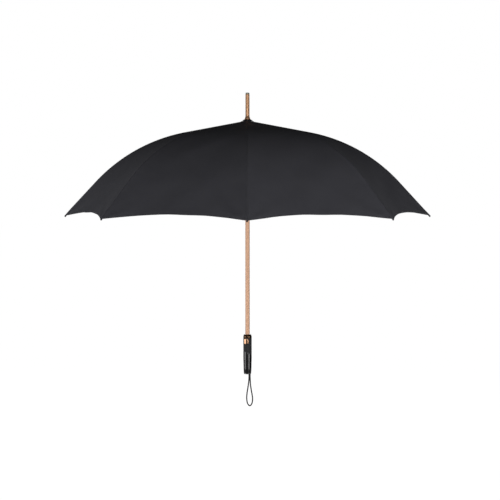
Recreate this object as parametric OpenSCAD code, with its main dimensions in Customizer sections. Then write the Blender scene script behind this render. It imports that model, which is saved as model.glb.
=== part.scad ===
// Stick umbrella with eight ribs, shown open. Sizes are in millimetres.
// +Z runs up the shaft to the ferrule, and the origin is the middle of the grip on the shaft's axis.
// Each rib, its stretcher and the cloth panels fold down round the crown as one linkage.

/* [Canopy] */
// Length of a rib along its rod, from the crown to the tip
rib_length = 669; // [650:1:690]
// Slope of the straight part of a rib beside the crown
rib_slope = 10.6; // [9:0.1:12]
// Length of that straight part
rib_straight = 190; // [170:1:210]
// Radius of the bend that follows it
bend_r = 517; // [490:1:560]
// Angle that the rib turns through in the bend
bend_angle = 36.4; // [32:0.1:38]
// Distance along the rib from the crown to the stretcher's clip
clip_s = 300; // [285:1:315]
// How far the hem curves in between two rib tips
hem_dip = 27; // [15:1:40]
// Thickness of the cover cloth
cloth_t = 0.4; // [0.3:0.1:0.6]
// Width of the cap on top of the canopy
cap_d = 32; // [28:1:38]

/* [Frame rods] */
// Diameter of a rib's rod
rib_d = 3.5; // [3:0.1:3.6]
// Diameter of a stretcher's rod
stretcher_d = 3; // [2.5:0.1:3.2]
// Angle between a closed rib and the shaft
closed_lean = 1; // [0.8:0.1:2]

/* [Shaft] */
// Outside diameter of the shaft's tube
shaft_d = 14; // [13.8:0.1:14.2]
// Wall of the shaft's tube
shaft_wall = 0.7; // [0.6:0.1:0.9]
// Height of the rib pivots above the middle of the grip
crown_z = 736.5; // [720:0.5:750]

/* [Ferrule] */
// Diameter of the ferrule
ferrule_d = 12.8; // [12:0.1:13]
// Height of the ferrule, with its tip
ferrule_h = 84; // [70:1:95]
// Height of the ferrule's tip
tip_h = 5; // [4:1:8]

/* [Handle] */
// Length of the handle
grip_len = 128; // [124:1:134]
// Diameter of the handle beside the button
grip_d = 27; // [26.6:0.1:28]
// Diameter of the handle's lower end
grip_end_d = 22.8; // [22:0.1:24]
// Width of the push button
button_w = 18; // [16:0.5:18]
// Height of the push button
button_h = 17.5; // [16:0.5:18]
// How far the button goes in
button_travel = 2.4; // [2:0.1:2.4]
// Turn of the button round the handle, from the front to the left
button_turn = 25; // [0:1:40]

/* [Wrist cord] */
// Diameter of the wrist cord
cord_d = 4.2; // [3.8:0.1:4.4]

/* [Hidden] */
rib_count = 8;
rib_ids = [for (k = [1:rib_count]) k];
$fn = 48;
// Gap between pieces that are pressed or riveted together
press_gap = 0.03;

rib_pitch = 360 / rib_count;
half_pitch = rib_pitch / 2;
shaft_r = shaft_d / 2;
bore_r = shaft_r + 0.05;
grip_r = grip_d / 2;
grip_end_r = grip_end_d / 2;
grip_top = grip_len / 2;
grip_bottom = -grip_len / 2;

// The pivots: ribs and stretchers turn on wire rings of this radius
pivot_r = 11;
wire_r = 0.7;
wire_hole_r = 0.8;
rod_rise = 6;
eye_t = 1.5;
slot_w = 2.1;
eye_w = 4;
lug_w = 3.6;
rivet_r = 1;
rivet_hole_r = 1.08;
cheek_t = 0.8;
rib_r = rib_d / 2;
tail_r = rib_r - 0.25;
root_r = rib_r - 0.1;
hub_r = 8.3;
disc_r = 13.2;

// The rib's line in its own upright plane, as [distance from the shaft's axis, height]
bend_len = bend_angle * PI / 180 * bend_r;
end_slope = rib_slope + bend_angle;
root_pt = [pivot_r + 1, crown_z + rod_rise];
bend_start = root_pt + rib_straight * [cos(rib_slope), -sin(rib_slope)];
bend_mid = bend_start - bend_r * [sin(rib_slope), cos(rib_slope)];
bend_end = bend_mid + bend_r * [sin(end_slope), cos(end_slope)];
function slope_at(s) =
    s < rib_straight ? rib_slope : min(end_slope, rib_slope + (s - rib_straight) / bend_r * 180 / PI);
function normal_at(s) = [sin(slope_at(s)), cos(slope_at(s))];
function line_at(s) =
    s < rib_straight ? root_pt + s * [cos(rib_slope), -sin(rib_slope)]
    : s < rib_straight + bend_len ? bend_mid + bend_r * normal_at(s)
    : bend_end + (s - rib_straight - bend_len) * [cos(end_slope), -sin(end_slope)];

crown_pivot = [pivot_r, crown_z];
clip_pivot = line_at(clip_s) - rod_rise * normal_at(clip_s);
elbow_s = clip_s + 6;
elbow = line_at(elbow_s);
// Crown, clip and runner pivots form a triangle with two equal sides, so the runner slides true
rib_link = norm(clip_pivot - crown_pivot);
runner_z = 2 * clip_pivot[1] - crown_z;
runner_pivot = [pivot_r, runner_z];
closed_runner_z = crown_z - 2 * rib_link * cos(closed_lean);
runner_tail = closed_runner_z - grip_top - 3;
seat_z = runner_z + 4.4;
spring_wire = 0.45;

// The cloth lies this far outside the middle of the rods
cloth_gap = 3.15;
cloth_first = 2;
hem_s = rib_length - 5;
edge_gap = 0.4;
hem_half = line_at(hem_s)[0] * sin(half_pitch);
hem_r = (hem_half * hem_half + hem_dip * hem_dip) / (2 * hem_dip);
cloth_top_z = crown_z + rod_rise + (cloth_gap + cloth_t) / cos(rib_slope);
rosette_r = 21;
rosette_lift = 0.35;
rosette_t = 0.6;
cap_z = cloth_top_z + 1.2;
cap_h = 5;
ferrule_z = cap_z + cap_h;
ferrule_r = ferrule_d / 2;
ferrule_top = ferrule_z + ferrule_h;

// The latch inside the handle
button_az = -90 - button_turn;
button_z = 42;
button_out = grip_r + 0.6;
button_back = shaft_r + button_travel + 0.2;
latch_z = 57;
latch_t = 2.6;
tooth_z = 71;
collar_z = 53;
seam_z = 6;
seam_tilt = 25;
pin_r = 1;
end_bore_r = 10.5;

// The wrist cord's route: out of the handle's end, down, round the loop and back up
cord_route = [
    [5.1, -1.7, -58], [5.1, -1.7, -66], [4.9, -1.5, -76], [4.2, -0.9, -88], [2.8, -0.4, -98],
    [1.1, 0, -110], [-0.9, 0.2, -122], [-2.3, 0.3, -134], [-2.5, 0.3, -145], [-1.2, 0.2, -156],
    [2.2, 0.1, -164],
    [7.2, 0, -167.6], [12.2, 0, -164], [15.3, 0.1, -156], [16.4, 0.1, -145], [15.1, 0.1, -134],
    [13, 0.1, -122], [11, 0.2, -110], [9.4, 0.4, -98], [8.8, 0.9, -88], [8.2, 1.5, -76],
    [8.1, 1.7, -66], [8.1, 1.7, -58]
];

module at_rib(k) {
    rotate([0, 0, rib_pitch * (k - 1)]) children();
}

module at_button() {
    rotate([0, 0, button_az]) children();
}

// A disc of radius r and thickness t, standing in the rib's plane
module cross_pin(p, r, t) {
    translate([p[0], 0, p[1]]) rotate([90, 0, 0]) cylinder(r = r, h = t, center = true);
}

// A flat link with round ends in the rib's plane
module link(p, q, w, t) {
    cross_pin(p, w / 2, t);
    cross_pin(q, w / 2, t);
    translate([p[0], 0, p[1]])
        rotate([0, atan2(p[1] - q[1], q[0] - p[0]), 0])
            translate([0, -t / 2, -w / 2]) cube([norm(q - p), t, w]);
}

module straight_rod(p, q, r) {
    translate([p[0], 0, p[1]])
        rotate([0, 90 + atan2(p[1] - q[1], q[0] - p[0]), 0]) cylinder(r = r, h = norm(q - p));
}

// A rod along the rib's bend from s1 to s2
module bent_rod(s1, s2, r) {
    translate([bend_mid[0], 0, bend_mid[1]])
        rotate([90, 0, 0])
            rotate([0, 0, 90 - slope_at(s2)])
                rotate_extrude(angle = slope_at(s2) - slope_at(s1))
                    translate([bend_r, 0]) circle(r = r);
}

module tube(r1, r2, z1, z2) {
    translate([0, 0, z1]) difference() {
        cylinder(r = r2, h = z2 - z1);
        translate([0, 0, -1]) cylinder(r = r1, h = z2 - z1 + 2);
    }
}

module wire_ring(z, r) {
    translate([0, 0, z]) rotate_extrude() translate([pivot_r, 0]) circle(r = r);
}

// Upright slots that the eyes of the rods swing in
module eye_slots(z) {
    for (k = rib_ids)
        at_rib(k) translate([hub_r, -slot_w / 2, z - 3]) cube([disc_r, slot_w, 10]);
}

// A round wire wound into a coil along Z
module coil(r, wire, z1, z2, turns) {
    per_turn = 14;
    sides = 6;
    rings = turns * per_turn;
    points = [for (i = [0:rings], j = [0:sides - 1])
        let (a = i * 360 / per_turn, b = j * 360 / sides, q = r + wire * cos(b))
            [q * cos(a), q * sin(a), z1 + (z2 - z1) * i / rings + wire * sin(b)]];
    sides_faces = [for (i = [0:rings - 1], j = [0:sides - 1])
        let (n = (j + 1) % sides)
            [i * sides + j, i * sides + n, (i + 1) * sides + n, (i + 1) * sides + j]];
    ends = [[for (j = [sides - 1:-1:0]) j], [for (j = [0:sides - 1]) rings * sides + j]];
    polyhedron(points = points, faces = concat(sides_faces, ends));
}

module shaft() {
    color("#d3a384") difference() {
        tube(shaft_r - shaft_wall, shaft_r, -30, ferrule_z);
        at_button() {
            translate([0, -2.6, 39.8]) cube([10, 5.2, 4.4]);
            translate([-10, -1.7, 67.5]) cube([10, 3.4, 8]);
            cross_pin([0, latch_z], pin_r, 30);
        }
    }
}

module ferrule() {
    spigot_r = shaft_r - shaft_wall - 0.2;
    body_top = ferrule_top - tip_h;
    color("#cfa989") rotate_extrude() polygon([
        [0, ferrule_z - 14], [spigot_r - 1, ferrule_z - 14], [spigot_r, ferrule_z], [9, ferrule_z], [9, ferrule_z + 1.5], [7.8, ferrule_z + 4],
        [7, ferrule_z + 7], [ferrule_r, ferrule_z + 10], [ferrule_r, body_top], [0, body_top]
    ]);
}

module ferrule_tip() {
    tip_r = ferrule_r - 0.4;
    color("#8e8d7c") translate([0, 0, ferrule_top - tip_h]) {
        cylinder(r = tip_r, h = tip_h - 1);
        translate([0, 0, tip_h - 1]) cylinder(r1 = tip_r, r2 = tip_r - 1, h = 1);
    }
}

module canopy_cap() {
    color("#151515") rotate_extrude() polygon([
        [bore_r, cap_z], [cap_d / 2, cap_z], [cap_d / 2, cap_z + 1], [cap_d / 2 - 2.5, cap_z + 2.8],
        [10.5, cap_z + 4.2], [9.5, cap_z + cap_h], [bore_r, cap_z + cap_h]
    ]);
}

// A round patch of cloth between the cap and the canopy
module top_rosette() {
    z_at_axis = cloth_top_z + rosette_lift + (pivot_r + 1) * tan(rib_slope);
    low = z_at_axis - rosette_r * tan(rib_slope);
    high = cap_z - rosette_t;
    r_flat = (z_at_axis - high) / tan(rib_slope);
    color("#1c1c20") rotate_extrude() polygon([
        [bore_r, high], [r_flat, high], [rosette_r, low],
        [rosette_r, low + rosette_t], [r_flat, cap_z], [bore_r, cap_z]
    ]);
}

module crown() {
    color("#141414") difference() {
        union() {
            translate([0, 0, crown_z - 12]) cylinder(r = hub_r, h = 20);
            translate([0, 0, crown_z - 2.9]) cylinder(r = disc_r, h = 5.8);
        }
        translate([0, 0, crown_z - 20]) cylinder(r = bore_r, h = 40);
        eye_slots(crown_z);
        wire_ring(crown_z, wire_r);
    }
}

module crown_wire() {
    color("#9a9a9a") wire_ring(crown_z, wire_r);
}

module runner() {
    low = runner_z - runner_tail;
    keyway_h = 13;
    color("#141414") difference() {
        union() {
            translate([0, 0, low]) cylinder(r = 9.6, h = runner_tail);
            translate([0, 0, runner_z - 6]) cylinder(r = disc_r, h = 8.9);
            translate([0, 0, runner_z - 10]) cylinder(r = hub_r, h = 14);
            translate([0, 0, runner_z - 30]) cylinder(r = 12, h = 3);
            translate([0, 0, low]) cylinder(r = 10.6, h = 4);
        }
        translate([0, 0, low - 1]) cylinder(r = shaft_r + 0.15, h = runner_tail + 20);
        eye_slots(runner_z);
        wire_ring(runner_z, wire_r);
        rotate([0, 0, button_az + 180]) translate([5, -1.9, low - 1]) cube([4, 3.8, keyway_h + 1]);
    }
}

module runner_wire() {
    color("#9a9a9a") wire_ring(runner_z, wire_r);
}

module spring_seat() {
    color("#202020") tube(shaft_r + 0.15, 8.6, seat_z, seat_z + 3);
}

module opening_spring() {
    z1 = seat_z + 3 + spring_wire + 0.1;
    z2 = crown_z - 12 - spring_wire - 0.1;
    color("#b9b9b9") coil(shaft_r + 0.95, spring_wire, z1, z2, 20);
}

// The handle's outline from the seam down to its end
module grip_outline(r_in, z1, z2) {
    bend_z = -22;
    low_r = grip_end_r + 0.4;
    rotate_extrude() polygon([
        [r_in, z1], [low_r, z1], [low_r + 0.9, z1 + 10], [grip_r - 0.5, bend_z - 8],
        [grip_r, bend_z + 8], [grip_r, z2], [r_in, z2]
    ]);
}

module seam_cutter(above) {
    translate([0, 0, seam_z]) rotate([0, seam_tilt, 0])
        translate([-40, -40, above ? 0 : -80]) cube([80, 80, 80]);
}

module button_block(w, h, corner, x1, x2) {
    translate([x1, 0, button_z]) rotate([0, 90, 0]) linear_extrude(height = x2 - x1) {
        square([h - 2 * corner, w], center = true);
        square([h, w - 2 * corner], center = true);
        for (a = [-1, 1], b = [-1, 1])
            translate([a * (h / 2 - corner), b * (w / 2 - corner)]) circle(r = corner);
    }
}

module grip_upper() {
    color("#2b2b2c") difference() {
        translate([0, 0, -20]) cylinder(r = grip_r, h = collar_z + 20);
        translate([0, 0, -21]) cylinder(r = bore_r, h = collar_z + 22);
        seam_cutter(false);
        at_button() button_block(button_w + 0.6, button_h + 0.6, 5.3, 6.5, 20);
    }
}

// The pin that the wrist cord is knotted round, with its ends in the handle's wall
module cord_pin(r, len) {
    translate([6.6, 0, -54.6]) rotate([90, 0, 0]) cylinder(r = r, h = len, center = true);
}

module grip_lower() {
    color("#0c0c0c") difference() {
        grip_outline(bore_r, grip_bottom + 4, 20);
        seam_cutter(true);
        translate([0, 0, grip_bottom]) cylinder(r = end_bore_r, h = 34);
        cord_pin(1.2 + press_gap, 17.2);
    }
}

module handle_collar() {
    color("#1a1512") difference() {
        rotate_extrude() polygon([
            [bore_r, collar_z], [grip_r, collar_z], [grip_r, grip_top - 4],
            [grip_r - 2, grip_top], [bore_r, grip_top]
        ]);
        at_button() cross_pin([0, latch_z], pin_r, 20);
    }
}

module grip_end_cap() {
    color("#101010") difference() {
        union() {
            translate([0, 0, grip_bottom + 1]) cylinder(r = grip_end_r, h = 3);
            translate([0, 0, grip_bottom]) cylinder(r1 = grip_end_r - 1, r2 = grip_end_r, h = 1);
            translate([0, 0, grip_bottom + 4]) cylinder(r = end_bore_r - press_gap, h = 4);
        }
        for (p = [cord_route[0], cord_route[len(cord_route) - 1]])
            translate([p[0], p[1], grip_bottom - 1]) cylinder(r = cord_d / 2 + 0.1, h = 12);
    }
}

// The latch's pivot pin and the wrist cord's pin
module handle_pins() {
    color("#a8a8a8") {
        at_button() cross_pin([0, latch_z], pin_r, 20);
        cord_pin(1.2, 17);
    }
}

module push_button() {
    color("#e0b3a0") at_button() {
        difference() {
            intersection() {
                button_block(button_w, button_h, 5, button_back, 16);
                cylinder(r = button_out, h = 80);
            }
            translate([button_back - 1, 0, button_z]) rotate([0, 90, 0]) cylinder(r = 4, h = 3.2);
        }
        translate([1.9, -2, button_z - 1.2]) cube([button_back + 2.3 - 1.9, 4, 2.4]);
    }
}

module button_spring() {
    color("#b9b9b9") at_button()
        translate([0, 0, button_z]) rotate([0, 90, 0]) coil(3.1, 0.2, 7.35, button_back + 1.95, 4);
}

// A rocking lever: the button pushes its lower arm, and its tooth draws in at the back of the shaft
module latch() {
    color("#8f8f8f") at_button() difference() {
        union() {
            link([0, 38], [0, latch_z], 3, latch_t);
            link([0, latch_z], [0, tooth_z], 3, latch_t);
            cross_pin([0, latch_z], 2.4, latch_t);
            translate([-8.4, -latch_t / 2, tooth_z - 1.5]) cube([8.4, latch_t, 3]);
        }
        cross_pin([0, latch_z], pin_r + 0.05, 10);
    }
}

module wrist_cord() {
    sides = 8;
    last = len(cord_route) - 1;
    function along(i) =
        let (d = cord_route[min(i + 1, last)] - cord_route[max(i - 1, 0)]) d / norm(d);
    function ring(i) =
        let (t = along(i), u = cross([0, 1, 0], t) / norm(cross([0, 1, 0], t)), v = cross(t, u))
            [for (j = [0:sides - 1])
                cord_route[i] + cord_d / 2 * (u * cos(j * 360 / sides) + v * sin(j * 360 / sides))];
    points = [for (i = [0:last], p = ring(i)) p];
    walls = [for (i = [0:last - 1], j = [0:sides - 1])
        let (n = (j + 1) % sides)
            [i * sides + j, (i + 1) * sides + j, (i + 1) * sides + n, i * sides + n]];
    ends = [[for (j = [0:sides - 1]) j], [for (j = [sides - 1:-1:0]) last * sides + j]];
    color("#101010") polyhedron(points = points, faces = concat(walls, ends));
}

// The clip pinned to the rib: a sleeve and two cheeks that hold the stretcher and the outer rod
module rib_clip() {
    cheek_y = slot_w / 2 + cheek_t / 2;
    sleeve_s = clip_s - 10;
    difference() {
        union() {
            bent_rod(clip_s - 15, clip_s - 6, rib_r + 0.65);
            for (side = [-1, 1]) translate([0, side * cheek_y, 0]) {
                link(clip_pivot, elbow, 5.2, cheek_t);
                link(line_at(sleeve_s), clip_pivot, 4.6, cheek_t);
                link(line_at(sleeve_s), elbow, 4.6, cheek_t);
            }
        }
        bent_rod(clip_s - 16, clip_s - 5, rib_r + press_gap);
        cross_pin(clip_pivot, rivet_r + press_gap, 8);
        cross_pin(elbow, rivet_r + press_gap, 8);
    }
}

module rivet(p) {
    head_y = slot_w / 2 + cheek_t + press_gap;
    cross_pin(p, rivet_r, 2 * head_y + 0.6);
    for (side = [-1, 1]) translate([0, side * (head_y + 0.3), 0]) cross_pin(p, 1.6, 0.6);
}

module rib_inner(k) {
    at_rib(k) {
        color("#1a1a1a") difference() {
            union() {
                link(crown_pivot, line_at(7), eye_w, eye_t);
                straight_rod(line_at(3.5), bend_start + [cos(rib_slope), -sin(rib_slope)], root_r);
                bent_rod(rib_straight, clip_s - 6, rib_r);
            }
            cross_pin(crown_pivot, wire_hole_r, 4);
        }
        color("#777777") {
            rib_clip();
            rivet(clip_pivot);
            rivet(elbow);
        }
    }
}

// A turned cap with a round nose, pushed on the rod's end
module rib_tip(rod_end) {
    ball_r = 2.6;
    cap_len = 12;
    bore = tail_r + press_gap;
    depth = cap_len - rib_length + rod_end + 0.1;
    first = line_at(rib_length - cap_len);
    translate([first[0], 0, first[1]]) rotate([0, 90 + end_slope, 0]) rotate_extrude() difference() {
        union() {
            square([rib_r + 0.5, cap_len - ball_r]);
            intersection() {
                translate([0, cap_len - ball_r]) circle(r = ball_r);
                translate([0, cap_len - 2 * ball_r]) square([ball_r, 2 * ball_r]);
            }
        }
        translate([-1, -1]) square([bore + 1, depth + 1]);
    }
}

module rib_outer(k) {
    rod_start = elbow_s + 6;
    rod_end = rib_length - 4;
    at_rib(k) {
        color("#1a1a1a") difference() {
            union() {
                link(elbow, line_at(elbow_s + 9), eye_w, eye_t);
                bent_rod(rod_start, rib_straight + bend_len, rib_r);
                straight_rod(line_at(rib_straight + bend_len - 1), line_at(rod_end), tail_r);
            }
            cross_pin(elbow, rivet_hole_r, 4);
        }
        color("#2a2a2a") rib_tip(rod_end);
    }
}

module stretcher(k) {
    dir = (runner_pivot - clip_pivot) / rib_link;
    at_rib(k) color("#1a1a1a") difference() {
        union() {
            link(clip_pivot, clip_pivot + 11 * dir, lug_w, eye_t);
            link(runner_pivot - 11 * dir, runner_pivot, eye_w, eye_t);
            straight_rod(clip_pivot + 8 * dir, runner_pivot - 8 * dir, stretcher_d / 2);
        }
        cross_pin(clip_pivot, rivet_hole_r, 4);
        cross_pin(runner_pivot, wire_hole_r, 4);
    }
}

// A cloth panel between two ribs: a band that follows the rib's line, flat from side to side
module gore_band(s_list) {
    shrink = cos(half_pitch);
    under = [for (s = s_list) line_at(s) + cloth_gap * normal_at(s)];
    over = [for (i = [len(s_list) - 1:-1:0])
        line_at(s_list[i]) + (cloth_gap + cloth_t) * normal_at(s_list[i])];
    reach = line_at(rib_length)[0] + 10;
    inset = edge_gap / sin(half_pitch);
    intersection() {
        rotate([90, 0, 0]) linear_extrude(height = 2 * reach, center = true)
            polygon([for (p = concat(under, over)) [p[0] * shrink, p[1]]]);
        translate([0, 0, crown_z - 400]) linear_extrude(height = 450)
            polygon([[inset, 0], [reach, -(reach - inset) * tan(half_pitch)],
                     [reach, (reach - inset) * tan(half_pitch)]]);
    }
}

module gore_inner(k) {
    s_list = concat([cloth_first], [for (i = [0:4]) rib_straight + (elbow_s - 0.2 - rib_straight) * i / 4]);
    color("#232327") rotate([0, 0, half_pitch]) at_rib(k) gore_band(s_list);
}

module gore_outer(k) {
    bent = rib_straight + bend_len - elbow_s;
    s_list = concat([elbow_s + 0.2], [for (i = [1:8]) elbow_s + bent * i / 8], [hem_s]);
    // Down the middle of the panel, which is steeper than its rib
    tilt = atan2(sin(end_slope), cos(end_slope) * cos(half_pitch));
    hem_pt = [line_at(hem_s)[0] * cos(half_pitch), line_at(hem_s)[1]];
    centre = hem_pt + (hem_r - hem_dip) * [cos(tilt), -sin(tilt)];
    color("#2c2c31") rotate([0, 0, half_pitch]) at_rib(k) difference() {
        gore_band(s_list);
        translate([centre[0], 0, centre[1]])
            rotate([0, tilt, 0]) cylinder(r = hem_r, h = 60, center = true, $fn = 96);
    }
}

shaft();
ferrule();
ferrule_tip();
canopy_cap();
top_rosette();
crown();
crown_wire();
runner();
runner_wire();
spring_seat();
opening_spring();
grip_upper();
grip_lower();
handle_collar();
grip_end_cap();
handle_pins();
push_button();
button_spring();
latch();
wrist_cord();
for (k = rib_ids) {
    rib_inner(k);
    rib_outer(k);
    stretcher(k);
    gore_inner(k);
    gore_outer(k);
}
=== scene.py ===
# Stick umbrella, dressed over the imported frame. Lengths are in metres.
import math
import random

import bpy
import numpy as np
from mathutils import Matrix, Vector


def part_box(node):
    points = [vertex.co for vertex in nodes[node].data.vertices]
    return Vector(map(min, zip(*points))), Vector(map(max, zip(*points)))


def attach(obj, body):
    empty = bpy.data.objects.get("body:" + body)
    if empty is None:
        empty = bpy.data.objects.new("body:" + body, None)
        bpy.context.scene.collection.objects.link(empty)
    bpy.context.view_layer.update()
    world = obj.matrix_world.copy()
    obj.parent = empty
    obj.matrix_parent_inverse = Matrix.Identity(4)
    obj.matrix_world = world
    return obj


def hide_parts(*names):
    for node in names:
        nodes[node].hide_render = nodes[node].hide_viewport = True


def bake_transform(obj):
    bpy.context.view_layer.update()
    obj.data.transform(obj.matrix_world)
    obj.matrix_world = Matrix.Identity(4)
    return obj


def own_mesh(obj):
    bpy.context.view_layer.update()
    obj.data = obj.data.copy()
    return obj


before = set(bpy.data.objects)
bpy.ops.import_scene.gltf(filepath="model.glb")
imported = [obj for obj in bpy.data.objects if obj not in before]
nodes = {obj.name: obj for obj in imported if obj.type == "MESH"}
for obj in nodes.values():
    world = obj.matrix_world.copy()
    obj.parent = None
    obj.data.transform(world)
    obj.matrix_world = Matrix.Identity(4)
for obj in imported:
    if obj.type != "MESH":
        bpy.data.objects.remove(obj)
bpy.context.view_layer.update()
rootBody = "shaft_and_handle"
scene = bpy.context.scene
print("frame loaded")

# ---- camera ----
cameraLook = {"place": (0.008, -3.5, 0.526), "aim": (0.008, 0, 0.3355), "lens": 78.8, "sensor": 36}


def makeCamera(look):
    data = bpy.data.cameras.new("camera")
    data.lens, data.sensor_width = look["lens"], look["sensor"]
    data.clip_start, data.clip_end = 0.05, 60
    camera = bpy.data.objects.new("camera", data)
    scene.collection.objects.link(camera)
    place, aim = Vector(look["place"]), Vector(look["aim"])
    camera.location = place
    camera.rotation_euler = (aim - place).to_track_quat("-Z", "Y").to_euler()
    scene.camera = camera


makeCamera(cameraLook)
print("camera placed")


# ---- shader tools ----
class Wire:
    # wraps a socket, so that shader maths reads as an expression
    def __init__(self, shade, socket):
        self.shade, self.socket = shade, socket

    def maths(self, operation, first, second):
        return self.shade.add("ShaderNodeMath", {"operation": operation}, {0: first, 1: second}).out(0)

    def __add__(self, other):
        return self.maths("ADD", self, other)

    def __radd__(self, other):
        return self.maths("ADD", other, self)

    def __mul__(self, other):
        return self.maths("MULTIPLY", self, other)

    def __rmul__(self, other):
        return self.maths("MULTIPLY", other, self)


class Made:
    # a node that was just added
    def __init__(self, shade, node):
        self.shade, self.node = shade, node

    def out(self, key):
        return Wire(self.shade, self.node.outputs[key])


class Shade:
    def __init__(self, name, uniform):
        self.finish = bpy.data.materials.new(name)
        self.finish.use_nodes = True
        self.tree = self.finish.node_tree
        self.surface = self.tree.nodes["Principled BSDF"]
        for key, value in uniform.items():
            self.surface.inputs[key].default_value = (*value, 1) if key == "Base Color" else value

    def add(self, kind, settings=None, sockets=None):
        node = self.tree.nodes.new(kind)
        for key, value in (settings or {}).items():
            setattr(node, key, value)
        for key, value in (sockets or {}).items():
            if isinstance(value, Wire):
                self.tree.links.new(value.socket, node.inputs[key])
            else:
                node.inputs[key].default_value = value
        return Made(self, node)

    def feed(self, key, wire):
        self.tree.links.new(wire.socket, self.surface.inputs[key])

    def place(self, source="Object"):
        return self.add("ShaderNodeTexCoord").out(source)

    def scaled(self, where, sizes):
        return self.add("ShaderNodeVectorMath", {"operation": "MULTIPLY"}, {0: where, 1: sizes}).out(0)

    def noise(self, where, scale, detail=3.0, rough=0.5):
        sockets = {"Vector": where, "Scale": scale, "Detail": detail, "Roughness": rough}
        return self.add("ShaderNodeTexNoise", None, sockets).out("Fac")

    def axis(self, where, name):
        return self.add("ShaderNodeSeparateXYZ", None, {0: where}).out(name)

    def sine(self, wire):
        return self.add("ShaderNodeMath", {"operation": "SINE"}, {0: wire}).out(0)

    def spread(self, wire, low, high, toLow=0.0, toHigh=1.0):
        sockets = {0: wire, 1: low, 2: high, 3: toLow, 4: toHigh}
        return self.add("ShaderNodeMapRange", {"clamp": True}, sockets).out(0)

    def mix(self, share, first, second):
        node = self.tree.nodes.new("ShaderNodeMix")
        node.data_type = "RGBA"
        for socket, value in zip((node.inputs[0], node.inputs[6], node.inputs[7]), (share, first, second)):
            if isinstance(value, Wire):
                self.tree.links.new(value.socket, socket)
            else:
                socket.default_value = (*value, 1) if isinstance(value, tuple) else value
        return Wire(self, node.outputs[2])

    def bump(self, height, strength, distance, normal=None):
        sockets = {"Height": height, "Strength": strength, "Distance": distance}
        if normal is not None:
            sockets["Normal"] = normal
        return self.add("ShaderNodeBump", None, sockets).out("Normal")


# ---- finishes ----
clothLook = {
    "dark": (0.053, 0.053, 0.062), "light": (0.067, 0.067, 0.077), "rough": (0.5, 0.6),
    "thread": 0.00045, "sheen": 0.01,
}


def clothFinish(name, look):
    # plain weave: fine crossed threads, a slow drift in tone and a few soft creases
    shade = Shade(name, {"Sheen Weight": look["sheen"], "Sheen Roughness": 0.4, "IOR": 1.4})
    shade.surface.inputs["Sheen Tint"].default_value = (0.62, 0.64, 0.75, 1)
    where = shade.place("UV")
    turns = 2 * math.pi / look["thread"]
    across, along = shade.axis(where, "X"), shade.axis(where, "Y")
    weave = shade.sine(across * turns) * shade.sine(along * turns)
    slub = shade.noise(shade.scaled(where, (900.0, 60.0, 1.0)), 1.0, 2.0)
    drift = shade.noise(where, 9.0, 4.0)
    crease = shade.noise(where, 26.0, 5.0, 0.55)
    tone = shade.spread(drift * 0.6 + slub * 0.4, 0.3, 0.7)
    shade.feed("Base Color", shade.mix(tone, look["dark"], look["light"]))
    shade.feed("Roughness", shade.spread(slub + weave * 0.2, 0.2, 0.9, *look["rough"]))
    folds = shade.bump(crease, 0.35, 0.0012)
    shade.feed("Normal", shade.bump(weave * 0.6 + slub * 0.4, 0.25, 0.00012, folds))
    return shade.finish


def metalFinish(name, tone, deep, rough, grain, metallic=1.0, bandFrom=None, ringed=False):
    # brushed metal: long fine grain, faint handling marks and a darker tone where asked
    shade = Shade(name, {"Metallic": metallic, "IOR": 1.5, "Coat Weight": 0.0})
    where = shade.place()
    stretch = (1.0, 1.0, 40.0) if ringed else (40.0, 40.0, 1.0)
    lines = shade.noise(shade.scaled(where, tuple(90.0 * s for s in stretch)), 1.0, 3.0)
    marks = shade.noise(where, 55.0, 5.0, 0.6)
    share = shade.spread(lines * 0.5 + marks * 0.5, 0.35, 0.65)
    colour = shade.mix(share, deep, tone)
    if bandFrom:
        band = shade.spread(shade.axis(where, "Z"), bandFrom - 0.0003, bandFrom + 0.0003)
        colour = shade.mix(band * 0.3, colour, tuple(0.55 * c for c in deep))
    shade.feed("Base Color", colour)
    shade.feed("Roughness", shade.spread(marks * 0.7 + lines * 0.3, 0.3, 0.7, rough - 0.05, rough + 0.06))
    shade.feed("Normal", shade.bump(lines, grain, 0.0001))
    return shade.finish


def plasticFinish(name, tone, worn, rough, grain, scale, coat=0.0, ior=1.48):
    # moulded plastic or rubber: fine grain, slightly paler where hands have rubbed it
    shade = Shade(name, {"IOR": ior, "Coat Weight": coat, "Coat Roughness": 0.06})
    where = shade.place()
    fine, slow = shade.noise(where, scale, 2.0), shade.noise(where, 38.0, 4.0, 0.6)
    shade.feed("Base Color", shade.mix(shade.spread(slow, 0.38, 0.72), tone, worn))
    shade.feed("Roughness", shade.spread(slow * 0.6 + fine * 0.4, 0.3, 0.7, rough - 0.06, rough + 0.07))
    shade.feed("Normal", shade.bump(fine, grain, 0.0002))
    return shade.finish


def threadFinish(name, dark, light, rough, twist):
    # spun thread or braid, by its own length and turn
    shade = Shade(name, {"Sheen Weight": 0.05, "Sheen Roughness": 0.45})
    where = shade.place("UV")
    across, along = shade.axis(where, "X"), shade.axis(where, "Y")
    strand = shade.sine(along * (2 * math.pi / twist) + across * (8 * math.pi))
    fuzz = shade.noise(shade.scaled(where, (60.0, 4000.0, 1.0)), 1.0, 3.0)
    shade.feed("Base Color", shade.mix(shade.spread(strand * 0.3 + fuzz, 0.3, 0.9), dark, light))
    shade.feed("Roughness", shade.spread(fuzz, 0.3, 0.7, rough - 0.08, rough + 0.1))
    shade.feed("Normal", shade.bump(strand * 0.5 + fuzz * 0.5, 0.4, 0.0002))
    return shade.finish


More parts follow.
